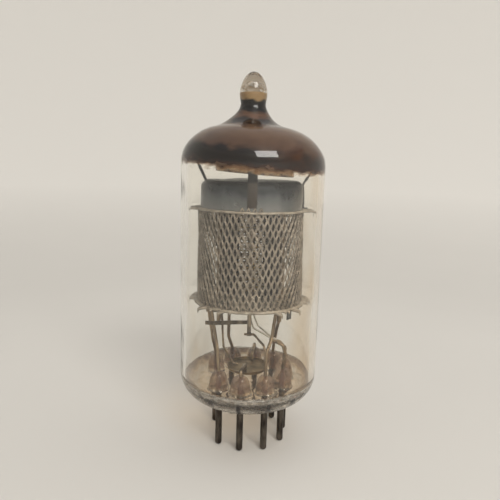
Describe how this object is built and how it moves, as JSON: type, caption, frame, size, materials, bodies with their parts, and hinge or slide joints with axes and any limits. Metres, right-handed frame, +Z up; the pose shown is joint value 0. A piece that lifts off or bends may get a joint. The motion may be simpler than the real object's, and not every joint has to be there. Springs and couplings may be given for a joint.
{
  "type": "miniature nine-pin vacuum tube",
  "caption": "Miniature glass vacuum tube: a screened pentode in a mesh cage, with a getter-darkened dome, an exhaust tip and a ring of base pins.",
  "frame": {"origin": "on the tube's axis, at the plane of the pin tips", "axes": "+Z up the tube's axis towards the exhaust tip; -Y is the side between pins 1 and 3 that faces the front; +X to the right of it"},
  "size_m": [0.0212, 0.0212, 0.0558],
  "materials": {
    "clear_glass": "clear drawn glass, faint warm tint",
    "base_glass": "pressed clear glass, greyish and a little speckled",
    "getter_film": "brown-black barium mirror, thin at its edge",
    "getter_metal": "tan, heat-tinted pressed metal",
    "dull_nickel": "dull nickel",
    "dark_nickel": "dark slate, smooth and slightly shiny",
    "mica": "sprayed mica, beige-grey, matt",
    "screen_metal": "expanded nickel sheet, light grey-tan",
    "wire_metal": "nickel wire, heat-browned",
    "cathode_nickel": "nickel sleeve with a white emissive coat",
    "heater_coating": "white alumina coating on tungsten wire",
    "seal_copper": "copper-clad seal wire, red-brown oxide",
    "grid_metal": "copper-nickel grid rods, dull",
    "grid_wire": "fine molybdenum wire",
    "anode_metal": "darkened nickel sheet",
    "pin_metal": "nickel-plated pins, oxidised dark grey"
  },
  "bodies": {
    "root": {"anode_left": "anode_metal", "anode_right": "anode_metal", "anode_rod_left": "wire_metal", "anode_rod_right": "wire_metal", "base_button": "base_glass", "base_screen": "dull_nickel", "bottom_mica": "mica", "bulb": "clear_glass", "bulb_spring_left": "dark_nickel", "bulb_spring_right": "dark_nickel", "cathode_link": "wire_metal", "cathode_sleeve": "cathode_nickel", "cathode_tab": "dull_nickel", "control_grid_ribbon": "dull_nickel", "control_grid_rods": "grid_metal", "control_grid_winding": "grid_wire", "getter_flash": "getter_film", "getter_ring": "getter_metal", "getter_strap": "dull_nickel", "heater": "heater_coating", "lead_1": "wire_metal", "lead_2": "wire_metal", "lead_3": "wire_metal", "lead_4": "wire_metal", "lead_5": "wire_metal", "lead_6": "wire_metal", "lead_7": "wire_metal", "lead_8": "wire_metal", "lead_9": "wire_metal", "pin_1": "pin_metal", "pin_2": "pin_metal", "pin_3": "pin_metal", "pin_4": "pin_metal", "pin_5": "pin_metal", "pin_6": "pin_metal", "pin_7": "pin_metal", "pin_8": "pin_metal", "pin_9": "pin_metal", "screen_cap": "dark_nickel", "screen_grid_ribbon": "dull_nickel", "screen_grid_rods": "grid_metal", "screen_grid_winding": "grid_wire", "screen_lug": "dark_nickel", "screen_mesh": "screen_metal", "screen_tail": "wire_metal", "seal_wires": "seal_copper", "suppressor_grid_ribbon": "dull_nickel", "suppressor_grid_rods": "grid_metal", "suppressor_grid_winding": "grid_wire", "top_mica": "mica"}
  },
  "joints": []
}
